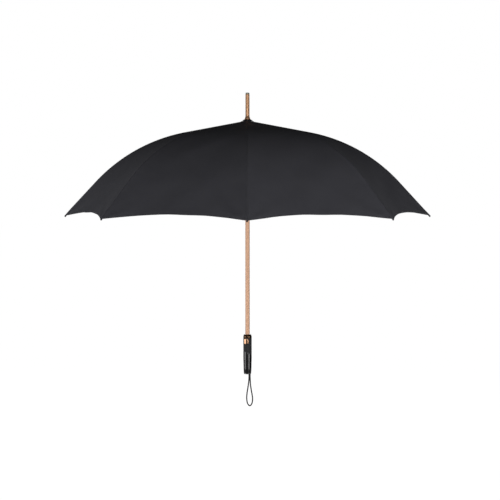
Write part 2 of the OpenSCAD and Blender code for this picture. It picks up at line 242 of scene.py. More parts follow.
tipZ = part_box("ferrule")[1].z
bandZ = tipZ - 0.013   # the ferrule's groove, and where its darker end begins
cloth = clothFinish("cover cloth", clothLook)
hemThread = threadFinish("hem thread", (0.008, 0.008, 0.010), (0.028, 0.028, 0.032), 0.5, 0.0006)
braid = threadFinish("cord braid", (0.005, 0.005, 0.006), (0.011, 0.011, 0.012), 0.6, 0.0011)
roseGold = metalFinish("rose gold satin", (0.66, 0.41, 0.275), (0.59, 0.35, 0.225), 0.55, 0.03, 0.6)
ferruleGold = metalFinish("rose gold ferrule", (0.80, 0.46, 0.26), (0.72, 0.39, 0.21), 0.4, 0.06, 0.7,
                          bandFrom=bandZ, ringed=True)
polishedGold = metalFinish("rose gold polished", (0.36, 0.215, 0.135), (0.31, 0.175, 0.105), 0.2, 0.02)
tipMetal = metalFinish("ferrule tip", (0.30, 0.31, 0.25), (0.24, 0.25, 0.20), 0.4, 0.08, 0.6, ringed=True)
# the collar is rose gold; its colour is darkened here to paint the shade and dark reflection it sits in
collarShadedGold = metalFinish("collar gold darkened as painted shade", (0.050, 0.031, 0.018), (0.030, 0.019, 0.012), 0.24, 0.03,
                         ringed=True)
steel = metalFinish("plated steel", (0.58, 0.58, 0.57), (0.46, 0.46, 0.46), 0.3, 0.08)
rodPaint = plasticFinish("rod paint", (0.010, 0.010, 0.011), (0.022, 0.022, 0.023), 0.3, 0.12, 900.0, 0.3)
capPlastic = plasticFinish("cap plastic", (0.008, 0.008, 0.009), (0.016, 0.016, 0.017), 0.36, 0.1, 1400.0)
mouldPlastic = plasticFinish("moulded plastic", (0.012, 0.012, 0.013), (0.024, 0.024, 0.025), 0.42, 0.2,
                             1800.0)
softRubber = plasticFinish("soft grip", (0.009, 0.009, 0.010), (0.015, 0.015, 0.0165), 0.62, 0.35, 2600.0,
                           ior=1.38)
glossGrip = plasticFinish("gloss grip", (0.003, 0.003, 0.0034), (0.005, 0.005, 0.0055), 0.16, 0.06, 700.0,
                          0.1, ior=1.42)
print("finishes made")


# ---- mesh tools ----
def smooth01(x):
    x = np.clip(x, 0, 1)
    return x * x * (3 - 2 * x)


def quarterDrop(distance, reach, depth):
    # how far a rounded edge has fallen at this distance from the edge
    share = 1 - np.clip(distance / reach, 0, 1)
    return depth * (1 - np.sqrt(np.clip(1 - share * share, 0, 1)))


def makePiece(name, points, faces, finishes, body=None, crease=35, uv=None, normals=None, parts=None):
    mesh = bpy.data.meshes.new(name)
    mesh.from_pydata(np.asarray(points, float).tolist(), [], [list(map(int, f)) for f in faces])
    for finish in finishes if isinstance(finishes, (list, tuple)) else [finishes]:
        mesh.materials.append(finish)
    if parts is not None:
        mesh.polygons.foreach_set("material_index", np.asarray(parts, np.int32))
    mesh.polygons.foreach_set("use_smooth", [True] * len(mesh.polygons))
    if uv is not None:
        layer = mesh.uv_layers.new(name="cut")
        corners = np.zeros(len(mesh.loops), np.int32)
        mesh.loops.foreach_get("vertex_index", corners)
        layer.data.foreach_set("uv", np.asarray(uv, np.float32)[corners].ravel())
    if normals is not None:
        mesh.normals_split_custom_set_from_vertices(np.asarray(normals, float).tolist())
    elif crease:
        mesh.set_sharp_from_angle(angle=math.radians(crease))
    piece = bpy.data.objects.new(name, mesh)
    scene.collection.objects.link(piece)
    if body:
        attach(piece, body)
    return piece


def gridFaces(rows, cols, ringed=False, first=0, flip=False):
    made = []
    for i in range(rows - 1):
        for j in range(cols if ringed else cols - 1):
            a, b = first + i * cols + j, first + i * cols + (j + 1) % cols
            quad = (a, b, b + cols, a + cols)
            made.append(quad[::-1] if flip else quad)
    return made


def shellFaces(rows, cols):
    # two grids, the second under the first, joined round their border
    count = rows * cols
    border = list(range(cols)) + [i * cols + cols - 1 for i in range(1, rows)]
    border += [(rows - 1) * cols + j for j in range(cols - 2, -1, -1)]
    border += [i * cols for i in range(rows - 2, 0, -1)]
    rim = [(a, b, b + count, a + count) for a, b in zip(border, border[1:] + border[:1])]
    return gridFaces(rows, cols, flip=True) + gridFaces(rows, cols, first=count) + rim


def rounded(profile, size, steps=5):
    # the profile's inner corners as short curves
    made, last = [], len(profile) - 1
    for i, corner in enumerate(np.asarray(profile, float)):
        cut = size[i] if isinstance(size, (list, tuple)) else size
        if i in (0, last) or cut == 0:
            made.append(tuple(corner))
            continue
        back, on = np.array(profile[i - 1]) - corner, np.array(profile[i + 1]) - corner
        first = corner + back * min(cut / np.linalg.norm(back), 0.45)
        second = corner + on * min(cut / np.linalg.norm(on), 0.45)
        for t in np.linspace(0, 1, steps + 1):
            made.append(tuple((1 - t) ** 2 * first + 2 * t * (1 - t) * corner + t * t * second))
    return made


def lathe(name, profile, finish, sides=96, loop=False):
    points, rings = [], []
    for r, z in profile:
        if r < 1e-7:
            rings.append([len(points)] * sides)
            points.append((0, 0, z))
        else:
            rings.append(list(range(len(points), len(points) + sides)))
            turn = [2 * math.pi * j / sides for j in range(sides)]
            points += [(r * math.cos(a), r * math.sin(a), z) for a in turn]
    faces = []
    for low, high in zip(rings, rings[1:] + rings[:1] if loop else rings[1:]):
        for j in range(sides):
            k = (j + 1) % sides
            face = list(dict.fromkeys((low[j], low[k], high[k], high[j])))
            if len(face) > 2:
                faces.append(face)
    return makePiece(name, points, faces, finish, rootBody)


def lengthsAlong(line):
    return np.concatenate([[0], np.cumsum(np.linalg.norm(np.diff(line, axis=0), axis=1))])


def resampled(at, lengths, line):
    return np.stack([np.interp(at, lengths, line[:, i]) for i in range(3)], axis=1)


def tubeAlong(path, radius, sides, first=0, swell=None):
    # rings carried along the path; swell gives each ring's radius by turn and length
    path = np.asarray(path, float)
    lengths = lengthsAlong(path)
    ways = np.gradient(path, axis=0)
    ways /= np.linalg.norm(ways, axis=1)[:, None]
    side = np.cross(ways[0], (0.3, 1, 0.2))
    side /= np.linalg.norm(side)
    turn = 2 * math.pi * np.arange(sides) / sides
    points, uv = [], []
    for i, (centre, way) in enumerate(zip(path, ways)):
        side = side - way * side.dot(way)
        side /= np.linalg.norm(side)
        other = np.cross(way, side)
        r = radius if swell is None else swell(turn, lengths[i])
        ring = np.cos(turn)[:, None] * side + np.sin(turn)[:, None] * other
        points += list(centre + ring * (np.ones(sides) * r)[:, None])
        uv += [(j / sides, lengths[i]) for j in range(sides)]
    faces = gridFaces(len(path), sides, True, first)
    end = first + (len(path) - 1) * sides
    faces += [[first + j for j in range(sides - 1, -1, -1)], [end + j for j in range(sides)]]
    return points, faces, uv


def stitchRow(places, ways, ups, length, radius):
    # short rounded dashes of thread
    points, faces, uv = [], [], []
    shares = ((-0.5, 0.15), (-0.36, 0.8), (0.36, 0.8), (0.5, 0.15))
    for place, way, up in zip(places, ways, ups):
        way = way / np.linalg.norm(way)
        side = np.cross(way, up)
        first = len(points)
        for share, wide in shares:
            for j in range(5):
                a = 2 * math.pi * j / 5
                lift = up * math.sin(a) * radius * wide + side * math.cos(a) * radius * wide
                points.append(place + way * share * length + lift)
                uv.append((j / 5, share * length))
        faces += gridFaces(4, 5, True, first)
        faces += [[first + j for j in range(4, -1, -1)], [first + 15 + j for j in range(5)]]
    return points, faces, uv


# ---- wrist cord ----
cordLook = {
    "thick": 0.0042, "strands": 6, "plait": 0.0052, "relief": 0.1, "sides": 36, "step": 0.00045,
    "route": [   # in millimetres
        (5.1, -1.7, -58), (5.1, -1.7, -66), (4.9, -1.5, -76), (4.2, -0.9, -88), (2.8, -0.4, -98),
        (1.1, 0, -110), (-0.9, 0.2, -122), (-2.3, 0.3, -134), (-2.5, 0.3, -145), (-1.2, 0.2, -156),
        (2.2, 0.1, -164), (7.2, 0, -167.6), (12.2, 0, -164), (15.3, 0.1, -156), (16.4, 0.1, -145),
        (15.1, 0.1, -134), (13, 0.1, -122), (11, 0.2, -110), (9.4, 0.4, -98), (8.8, 0.9, -88),
        (8.2, 1.5, -76), (8.1, 1.7, -66), (8.1, 1.7, -58),
    ],
}


def smoothRoute(points, step):
    # a curve through the points, in even steps
    points = np.asarray(points, float)
    padded = np.vstack([2 * points[0] - points[1], points, 2 * points[-1] - points[-2]])
    made = []
    for p0, p1, p2, p3 in zip(padded, padded[1:], padded[2:], padded[3:]):
        for t in np.linspace(0, 1, 40, endpoint=False):
            made.append(0.5 * (2 * p1 + (p2 - p0) * t + (2 * p0 - 5 * p1 + 4 * p2 - p3) * t * t
                               + (3 * p1 - p0 - 3 * p2 + p3) * t ** 3))
    made = np.array(made + [points[-1]])
    lengths = lengthsAlong(made)
    even = np.linspace(0, lengths[-1], int(lengths[-1] / step) + 1)
    return resampled(even, lengths, made)


def makeCord(look):
    route = smoothRoute(np.array(look["route"]) / 1000, look["step"])

    def plaited(turn, length):
        a = look["strands"] / 2 * turn / math.pi + length / look["plait"]
        b = look["strands"] / 2 * turn / math.pi - length / look["plait"]
        over, under = np.abs(np.sin(math.pi * a)), np.abs(np.sin(math.pi * b))
        weave = np.where(np.sin(math.pi * (a + b)) > 0, over, under)
        raised = 0.6 * weave + 0.4 * np.maximum(over, under)
        return look["thick"] / 2 * (1 - look["relief"] + look["relief"] * raised)

    points, faces, uv = tubeAlong(route, look["thick"] / 2, look["sides"], swell=plaited)
    cord = makePiece("wrist_cord_braid", points, faces, braid, rootBody, crease=None, uv=uv)
    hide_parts("wrist_cord")


makeCord(cordLook)
print("cord made")

# ---- canopy ----
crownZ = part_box("crown")[1].z - 0.008
canopy = {
    "count": 8, "root": (0.012, crownZ + 0.006), "slope": 10.6, "straight": 0.190, "bendRadius": 0.517,
    "bendAngle": 36.4, "first": 0.002, "elbow": 0.306, "hem": 0.6675, "hemDip": 0.0295, "rise": 0.00355,
    "thick": 0.0004, "gap": 0.0001, "dip": 0.011, "dipFrom": 0.24, "dipOver": 0.26, "keep": 0.08,
    "edgeReach": 0.003, "edgeDepth": 0.0009, "hemWide": 0.0052, "hemThick": 0.0011, "stitchIn": 0.004,
    "stitchStep": 0.0027, "stitchLong": 0.0019, "thread": 0.00022,
}
half = math.pi / canopy["count"]


def ribLine(s):
    # the rod's line in its upright plane: distance from the axis, height and slope
    c = canopy
    start, end = math.radians(c["slope"]), math.radians(c["slope"] + c["bendAngle"])
    s = np.asarray(s, float)
    slope = np.clip(start + (s - c["straight"]) / c["bendRadius"], start, end)
    flat = np.minimum(s, c["straight"])
    tail = np.maximum(s - c["straight"] - math.radians(c["bendAngle"]) * c["bendRadius"], 0)
    r = c["root"][0] + flat * math.cos(start) + c["bendRadius"] * (np.sin(slope) - math.sin(start))
    z = c["root"][1] - flat * math.sin(start) - c["bendRadius"] * (math.cos(start) - np.cos(slope))
    return r + tail * math.cos(end), z - tail * math.sin(end), slope


def coverLine(s, rise):
    r, z, slope = ribLine(s)
    return r + rise * np.sin(slope), z + rise * np.cos(slope), slope


def ribFrame(azimuth):
    # outward and sideways, for a plane through the shaft's axis
    return (np.array([math.cos(azimuth), math.sin(azimuth)]),
            np.array([-math.sin(azimuth), math.cos(azimuth)]))


def goreWaves(k, y, s, v, hemHalf):
    # small slow waves of a stretched panel, and tension folds that start at the two tips
    dice = random.Random(40 + k)
    waves = np.zeros_like(s)
    for long in (0.21, 0.16, 0.12, 0.095):
        angle, phase = dice.uniform(0.2, 1.4), dice.uniform(0, 6.28)
        waves += 0.0022 * long / 0.2 * np.sin(
            2 * math.pi * (y * math.cos(angle) + s * math.sin(angle)) / long + phase)
    waves *= 0.35 * (1 - v * v) * smooth01((s - 0.08) / 0.2)
    for side in (-1, 1):
        dy, ds = hemHalf - side * y, canopy["hem"] - s
        reach, angle = np.hypot(dy, ds), np.arctan2(dy, np.abs(ds))
        folds = np.sin(angle * 10 + dice.uniform(0, 6.28)) * smooth01(angle / 0.3)
        waves += 0.0010 * np.exp(-reach / 0.12) * smooth01(reach / 0.04) * folds
    return waves


def makeGoreGrid(k):
    c = canopy
    azimuth = 2 * half * (k - 1) + half
    out, side = ribFrame(azimuth)
    edges = np.array([0, 0.25, 0.6, 1.1, 1.8, 2.8, 4.2, 6.5]) / 1000
    shares = np.linspace(-1, 1, 19)[1:-1]
    hemHalf = coverLine(c["hem"], c["rise"])[0] * math.sin(half) - c["gap"]
    inside = hemHalf - edges
    hemV = np.concatenate([-inside, shares * inside[-1], inside[::-1]]) / hemHalf
    hemS = c["hem"] - c["hemDip"] * (1 - hemV ** 2)
    inner = np.linspace(c["first"], c["elbow"], 96)
    fromHem = np.array([8, 6.4, 5.5, 5.0, 4.5, 4.0, 3.5, 2.6, 1.7, 0.9, 0.4, 0.15, 0]) / 1000
    shareDown = np.linspace(0, 1, 112)[1:]
    rows = [np.full_like(hemS, s) for s in inner]
    rows += [c["elbow"] + f * (hemS - fromHem[0] - c["elbow"]) for f in shareDown]
    rows += [hemS - d for d in fromHem[1:]]
    s = np.array(rows)
    r, z, slope = coverLine(s, c["rise"])
    h = r * math.sin(half) - c["gap"]
    small = np.minimum(1, h / 0.02)
    count = len(edges)
    y = np.empty_like(s)
    for j in range(count):
        y[:, j] = -(h[:, j] - edges[j] * small[:, j])
        y[:, -1 - j] = h[:, -1 - j] - edges[j] * small[:, -1 - j]
    for j, share in enumerate(shares):
        y[:, count + j] = share * (h[:, count + j] - edges[-1] * small[:, count + j])
    v, away, down = y / h, h - np.abs(y), hemS - s
    fall = c["dip"] * smooth01((s - c["dipFrom"]) / c["dipOver"]) * (1 - v * v)
    fall = fall + quarterDrop(away, c["edgeReach"] * small, c["edgeDepth"] * small)
    fall += quarterDrop(down, 0.0008, 0.0004) + 0.0002 * np.exp(-((down - c["stitchIn"]) / 0.0006) ** 2)
    fall += 0.00016 * np.exp(-away / 0.006) * np.sin(2 * math.pi * s / 0.0085 + k) * smooth01(away / 0.0015)
    fall += 0.00022 * np.exp(-down / 0.008) * np.sin(2 * math.pi * y / 0.0105 + 2 * k)
    fall += goreWaves(k, y, s, v, hemHalf)
    tilt = np.stack([np.sin(slope), math.cos(half) * np.cos(slope)])
    tilt /= np.linalg.norm(tilt, axis=0)
    far = r * math.cos(half) - fall * tilt[0]
    top = np.stack([out[0] * far + side[0] * y, out[1] * far + side[1] * y, z - fall * tilt[1]], axis=-1)
    normals = np.cross(np.gradient(top, axis=0), np.gradient(top, axis=1))
    normals /= np.linalg.norm(normals, axis=2)[:, :, None]
    thick = c["thick"] + (c["hemThick"] - c["thick"]) * smooth01((c["hemWide"] - down) / 0.0006)
    under = top - normals * thick[:, :, None]
    return {"top": top, "under": under, "normals": normals, "uv": np.stack([y, s], axis=-1),
            "split": len(inner) - 1, "stitch": len(s) - len(fromHem) + 5, "side": side, "azimuth": azimuth}


def clothSheet(name, grid, rows, body):
    top, under = grid["top"][rows], grid["under"][rows]
    normals, uv = grid["normals"][rows].reshape(-1, 3), grid["uv"][rows].reshape(-1, 2)
    points = np.concatenate([top.reshape(-1, 3), under.reshape(-1, 3)])
    piece = makePiece(name, points, shellFaces(*top.shape[:2]), cloth, body,
                      uv=np.concatenate([uv, uv]), normals=np.concatenate([normals, -normals]))
    return piece


def gridArea(points):
    a = np.cross(points[1:, :-1] - points[:-1, :-1], points[:-1, 1:] - points[:-1, :-1])
    return float(np.linalg.norm(a, axis=2).sum())


def squashGore(piece):
    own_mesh(piece)


def makeGore(k):
    grid = makeGoreGrid(k)
    split = grid["split"]
    made = {}
    for part, rows in (("inner", slice(0, split + 1)), ("outer", slice(split, None))):
        area = gridArea(grid["top"][rows])
        s, y = grid["uv"][rows][:, :, 1], grid["uv"][rows][:, :, 0]
        flat = (round(float(2 * y.max()), 3), round(float(s.max() - s.min()), 3))
        piece = clothSheet(f"cover_{part}_{k}", grid, rows, f"gore_{part}_{k}")
        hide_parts(f"gore_{part}_{k}")
        squashGore(piece)
        made[part] = (piece, flat, area)
    places, ways, ups = [], [], []
    for layer, sign in ((grid["top"], 1), (grid["under"], -1)):
        line, up = layer[grid["stitch"]], grid["normals"][grid["stitch"]] * sign
        lengths = lengthsAlong(line)
        at = np.arange(0.004, lengths[-1] - 0.003, canopy["stitchStep"])
        spots, up = resampled(at, lengths, line), resampled(at, lengths, up)
        places += list(spots + up * 0.00004)
        ways += list(np.gradient(spots, axis=0))
        ups += list(up)
    points, faces, uv = stitchRow(places, ways, ups, canopy["stitchLong"], canopy["thread"])
    stitches = makePiece(f"hem_stitches_{k}", points, faces, hemThread, f"gore_outer_{k}", crease=60, uv=uv)
    squashGore(stitches)
    piece, flat, area = made["inner"]
    piece, flat, area = made["outer"]
    return grid


gores = {k: makeGore(k) for k in range(1, canopy["count"] + 1)}
print("cover made")

seamLook = {
    "wide": 0.0052, "thick": 0.00022, "under": 0.00015, "step": 0.006,
    "ties": {"inner": (0.1, 0.2), "outer": (0.4, 0.5, 0.6)}, "tieTurns": 3, "tiePitch": 0.00045,
    "tieRadius": 0.0021, "tieThread": 0.0002,
}


def seamTape(k, part, s0, s1):
    # the seam's two turned edges, seen from under the cover, and the ties that hold them to the rod
    look, c = seamLook, canopy
    azimuth = 2 * half * (k - 1)
    out, side = ribFrame(azimuth)
    s = np.linspace(s0, s1, int((s1 - s0) / look["step"]) + 2)[:, None]
    e = np.array([-1, -0.6, -0.3, -0.12, 0, 0.12, 0.3, 0.6, 1])[None, :] * look["wide"]
    r, z, slope = coverLine(s, c["rise"])
    small = np.minimum(1, r * math.sin(half) / 0.02)
    e = e * small
    dip = c["dip"] * smooth01((s - c["dipFrom"]) / c["dipOver"])
    h = r * math.sin(half)
    layers = []
    for extra in (0.0, look["thick"]):
        fall = c["thick"] + look["under"] + extra + 2 * dip * np.abs(e) / h
        fall = fall + quarterDrop(np.abs(e), c["edgeReach"] * small, c["edgeDepth"] * small)
        x = r - np.abs(e) * math.sin(half) - fall * np.sin(slope)
        y = e * math.cos(half)
        height = z - fall * np.cos(slope)
        layers.append(np.stack([out[0] * x + side[0] * y, out[1] * x + side[1] * y, height], -1))
    rows, cols = layers[0].shape[:2]
    points = np.concatenate([p.reshape(-1, 3) for p in layers])
    flatUv = np.stack(np.broadcast_arrays(e, s), -1).reshape(-1, 2)
    faces = shellFaces(rows, cols)
    parts, uv = [0] * len(faces), list(flatUv) * 2
    points = list(points)
    for at in look["ties"][part]:
        r, z, slope = ribLine(at)
        centre = np.array([out[0] * r, out[1] * r, z])
        way = np.array([out[0] * math.cos(slope), out[1] * math.cos(slope), -math.sin(slope)])
        up = np.array([out[0] * math.sin(slope), out[1] * math.sin(slope), math.cos(slope)])
        across = np.array([*side, 0])
        turns = np.linspace(0, look["tieTurns"], look["tieTurns"] * 16 + 1)
        angle = 2 * math.pi * turns[:, None]
        path = centre + way * (turns[:, None] * look["tiePitch"])
        path = path + look["tieRadius"] * (np.cos(angle) * across + np.sin(angle) * up)
        tiePoints, tieFaces, tieUv = tubeAlong(path, look["tieThread"], 6, first=len(points))
        points, faces, uv = points + tiePoints, faces + tieFaces, uv + tieUv
        parts += [1] * len(tieFaces)
    piece = makePiece(f"seam_{part}_{k}", points, faces, [cloth, hemThread], f"rib_{part}_{k}", uv=uv,
                      parts=parts)


for k in range(1, canopy["count"] + 1):
    seamTape(k, "inner", 0.012, canopy["elbow"])
    seamTape(k, "outer", canopy["elbow"], canopy["hem"] - 0.002)
print("seams made")

strapLook = {
    "gore": 3, "from": 0.520, "to": 0.628, "wide": 0.022, "thick": 0.0007, "back": 0.082, "lift": 0.0011,
    "loop": 0.0016, "thread": 0.0002, "snap": 0.0055, "snapSides": 40,
}


def makeStrap(look):
    # the closing strap lies down a back panel, turned back on itself and held by its snap
    k = look["gore"]
    grid = gores[k]
    out, side = ribFrame(grid["azimuth"])

    def panelAt(s, y, lift):
        r, z, slope = coverLine(s, canopy["rise"])
        h = r * math.sin(half)
        fall = canopy["dip"] * smooth01((s - canopy["dipFrom"]) / canopy["dipOver"]) * (1 - (y / h) ** 2)
        tilt = np.array([math.sin(slope), math.cos(half) * math.cos(slope)])
        tilt /= np.linalg.norm(tilt)
        far = r * math.cos(half) + (lift - fall) * tilt[0]
        height = z + (lift - fall) * tilt[1]
        return np.array([out[0] * far + side[0] * y, out[1] * far + side[1] * y, height])

    line = [(s, look["lift"] + 0.0006 * math.sin((s - look["from"]) * 60)) for s in
            np.linspace(look["from"], look["to"], 28)]
    for a in np.linspace(-80, 80, 9):
        swing = math.radians(a)
        line.append((look["to"] + look["loop"] * math.cos(swing),
                     look["lift"] + look["loop"] * (1 + math.sin(swing))))
    line += [(s, look["lift"] + 2 * look["loop"] + 0.0012 * math.sin((look["to"] - s) * 38))
             for s in np.linspace(look["to"], look["to"] - look["back"], 22)]
    across = np.array([-0.5, -0.47, -0.4, -0.2, 0, 0.2, 0.4, 0.47, 0.5]) * look["wide"]
    top = np.array([[panelAt(s, y, lift) for y in across] for s, lift in line])
    normals = np.cross(np.gradient(top, axis=0), np.gradient(top, axis=1))
    normals /= np.linalg.norm(normals, axis=2)[:, :, None]
    under = top - normals * look["thick"]
    long = lengthsAlong(top[:, 4])
    uv = np.stack(np.broadcast_arrays(across[None, :], long[:, None]), -1).reshape(-1, 2)
    points = np.concatenate([top.reshape(-1, 3), under.reshape(-1, 3)])
    strap = makePiece("tie_strap", points, shellFaces(*top.shape[:2]), cloth, f"gore_outer_{k}",
                      uv=np.concatenate([uv, uv]))
    places, ways, ups = [], [], []
    for column in (1, -2):
        spots = top[1:-1, column]
        lengths = lengthsAlong(spots)
        at = np.arange(0.002, lengths[-1] - 0.002, canopy["stitchStep"])
        spot, up = resampled(at, lengths, spots), resampled(at, lengths, normals[1:-1, column])
        places += list(spot + up * 0.00005)
        ways += list(np.gradient(spot, axis=0))
        ups += list(up)
    stitchPoints, faces, stitchUv = stitchRow(places, ways, ups, canopy["stitchLong"], look["thread"])
    stitches = makePiece("tie_strap_stitches", stitchPoints, faces, hemThread, f"gore_outer_{k}",
                         uv=stitchUv)
    centre, up = top[-5, 4], -normals[-5, 4]
    one = np.array([*side, 0])
    two = np.cross(up, one)
    # the snap's section, as shares of its radius and heights over the cloth
    profile = rounded([
        (0.0, -0.0004), (1, -0.0004), (1, 0.0009), (0.72, 0.0013), (0.55, 0.0009), (0, 0.0008),
    ], [0, 0, 0.0003, 0.0003, 0.0002, 0], 4)
    points, sides = [], look["snapSides"]
    for share, rise in profile:
        for j in range(sides):
            a = 2 * math.pi * j / sides
            r = max(share, 0.001) * look["snap"]
            points.append(centre + up * rise + (one * math.cos(a) + two * math.sin(a)) * r)
    faces = gridFaces(len(profile), sides, True)
    faces += [list(range(sides - 1, -1, -1)), list(range(len(points) - sides, len(points)))]
    snap = makePiece("tie_strap_snap", points, faces, steel, f"gore_outer_{k}")
    for piece in (strap, stitches, snap):
        squashGore(piece)
    print(f"strap is {long[-1]:.3f} long")


makeStrap(strapLook)
print("strap made")

# ---- top of the canopy ----
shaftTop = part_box("shaft")[1].z
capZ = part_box("canopy_cap")[0].z
rosetteLook = {"hole": 0.00705, "edge": 0.0206, "teeth": 40, "tooth": 0.0006, "thick": 0.0005, "sides": 160,
               "waves": 8, "wave": 0.00025}


def makeRosette(look):
    slope = math.radians(canopy["slope"])
    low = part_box("top_rosette")[0].z + look["thick"]
    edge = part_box("top_rosette")[1].x
    turn = 2 * math.pi * np.arange(look["sides"]) / look["sides"]
    tooth = look["tooth"] * (2 / math.pi) * np.arcsin(np.sin(turn * look["teeth"]))
    top = []
    for share in np.linspace(0, 1, 16):
        r = look["hole"] + share * (look["edge"] - look["hole"] + tooth * smooth01((share - 0.7) / 0.3))
        z = low + (edge - r) * math.tan(slope)
        z = z + look["wave"] * share * np.sin(turn * look["waves"]) * smooth01(share)
        z = np.minimum(z, capZ - 0.00005 - 0.00002 * share)
        top.append(np.stack([r * np.cos(turn), r * np.sin(turn), z], -1))
    top = np.array(top)
    rows, cols = top.shape[:2]
    under = top - np.array([0, 0, look["thick"]])
    points = np.concatenate([top.reshape(-1, 3), under.reshape(-1, 3)])
    count = rows * cols
    faces = gridFaces(rows, cols, True, flip=True) + gridFaces(rows, cols, True, first=count)
    for j in range(cols):
        k = (j + 1) % cols
        faces.append((j, k, k + count, j + count))
        faces.append((count - cols + k, count - cols + j, 2 * count - cols + j, 2 * count - cols + k))
    piece = makePiece("rosette", points, faces, cloth, rootBody, uv=points[:, :2])
    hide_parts("top_rosette")


makeRosette(rosetteLook)

# the fixed numbers in these sections are radii and heights over the named level
capLook = {"bore": 0.00705, "rim": 0.0010, "round": 0.0006}
capRim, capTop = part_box("canopy_cap")[1].x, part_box("canopy_cap")[1].z
cap = lathe("cap", rounded([
    (capLook["bore"], capZ), (capRim, capZ), (capRim, capZ + capLook["rim"]),
    (capRim - 0.0026, capZ + 0.0027), (0.0118, capZ + 0.0036), (0.0105, capZ + 0.0042), (0.0096, capTop),
    (capLook["bore"], capTop),
], capLook["round"]), capPlastic, loop=True)
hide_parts("canopy_cap")

ferruleLook = {"radius": 0.0064, "foot": 0.009, "round": 0.0007, "groove": 0.00035}
groove = ferruleLook["groove"]
ferrule = lathe("ferrule_spike", rounded([
    (0, shaftTop - 0.014), (0.0052, shaftTop - 0.014), (0.0061, shaftTop - 0.012), (0.0061, shaftTop),
    (ferruleLook["foot"], shaftTop), (ferruleLook["foot"], shaftTop + 0.0015), (0.0078, shaftTop + 0.004),
    (0.007, shaftTop + 0.007), (ferruleLook["radius"], shaftTop + 0.010),
    (ferruleLook["radius"], bandZ - groove), (ferruleLook["radius"] - groove, bandZ),
    (ferruleLook["radius"], bandZ + groove), (ferruleLook["radius"], tipZ), (0, tipZ),
], [0, 0, 0, 0.0002, 0.0003, 0.0006, 0.002, 0.003, 0.003, 0.0001, 0.0002, 0.0001, 0.0002, 0]), ferruleGold)
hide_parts("ferrule")

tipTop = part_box("ferrule_tip")[1].z
ferruleEnd = lathe("ferrule_end", rounded([
    (0, tipZ + 0.00002), (0.0058, tipZ + 0.00002), (0.0060, tipZ + 0.0003), (0.0060, tipTop - 0.0013),
    (0.0050, tipTop - 0.0002), (0, tipTop),
], [0, 0, 0.0001, 0.0006, 0.0012, 0]), tipMetal)
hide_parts("ferrule_tip")
print("top made")

# ---- handle ----
gripTop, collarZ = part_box("handle_collar")[1].z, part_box("handle_collar")[0].z
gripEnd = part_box("grip_lower")[0].z
handle = {
    "radius": 0.0135, "bore": 0.00708, "endBore": 0.0105, "endDeep": 0.03, "seamZ": 0.006, "seamTilt": 25,
    "seamGap": 0.00006, "sides": 144, "round": 0.0004,
    "outline": [(-0.060, 0.0118), (-0.050, 0.0127), (-0.030, 0.0130), (-0.014, 0.0135), (0.03, 0.0135)],
}
buttonTurn = math.radians(-115)
buttonLook = {"wide": 0.018, "tall": 0.0175, "z": 0.042, "out": 0.0141, "back": 0.0098, "corner": 3.6,
              "dome": 0.0003, "round": 0.0011, "gap": 0.0003, "shoulder": 0.0112, "sides": 96,
              "hole": (0.0067, 0.012, 0.0135, 0.016), "holeSides": 72}


def gripRadius(z):
    zs = np.linspace(-0.066, 0.04, 320)
    rough = np.interp(zs, *zip(*handle["outline"]))
    wide = 31
    soft = np.convolve(np.pad(rough, wide // 2, mode="edge"), np.ones(wide) / wide, "valid")
    return np.interp(z, zs, soft)


def seamHeight(turn, r):
    return handle["seamZ"] - r * np.cos(turn) * math.tan(math.radians(handle["seamTilt"]))


def ringLoop(name, rings, finish):
    # rings of points, outside going up and then inside going down, closed on themselves
    points = np.array(rings)
    rows, cols = points.shape[:2]
    faces = gridFaces(rows, cols, True)
    last = (rows - 1) * cols
    faces += [(last + j, last + (j + 1) % cols, (j + 1) % cols, j) for j in range(cols)]
    return makePiece(name, points.reshape(-1, 3), faces, finish, crease=30)


def ringAt(turn, r, z):
    r, z = np.broadcast_arrays(r, z, turn)[:2]
    return np.stack([r * np.cos(turn), r * np.sin(turn), z], -1)


def makeGripLower():
    turn = 2 * math.pi * np.arange(handle["sides"]) / handle["sides"]
    edge = handle["round"]
    rings = []
    for a in np.linspace(0, 90, 5):
        rings.append(ringAt(turn, gripRadius(gripEnd) - edge * (1 - math.sin(math.radians(a))),
                            gripEnd + edge * (1 - math.cos(math.radians(a)))))
    top = seamHeight(turn, handle["radius"])
    for share in np.linspace(0, 1, 48)[1:]:
        z = gripEnd + edge + share * (top - 2 * edge - gripEnd)
        rings.append(ringAt(turn, gripRadius(z), z))
    for a in np.linspace(0, 90, 5)[1:]:
        swing = math.radians(a)
        rings.append(ringAt(turn, handle["radius"] - edge * (1 - math.cos(swing)),
                            top - edge * (1 - math.sin(swing))))
    rings.append(ringAt(turn, handle["bore"], seamHeight(turn, handle["bore"])))
    step = gripEnd + handle["endDeep"]
    for r, z in ((handle["bore"], step), (handle["endBore"], step), (handle["endBore"], gripEnd)):
        rings.append(ringAt(turn, r, z))
    piece = ringLoop("grip_gloss", rings, glossGrip)
    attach(piece, rootBody)
    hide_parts("grip_lower")


def buttonOutline(turn, grow=0.0):
    power = 2 / buttonLook["corner"]
    c, s = np.cos(turn), np.sin(turn)
    y = (buttonLook["wide"] / 2 + grow) * np.sign(c) * np.abs(c) ** power
    z = (buttonLook["tall"] / 2 + grow) * np.sign(s) * np.abs(s) ** power
    return y, z


def atButton(x, y, z):
    c, s = math.cos(buttonTurn), math.sin(buttonTurn)
    return np.stack(np.broadcast_arrays(x * c - y * s, x * s + y * c, z), -1)


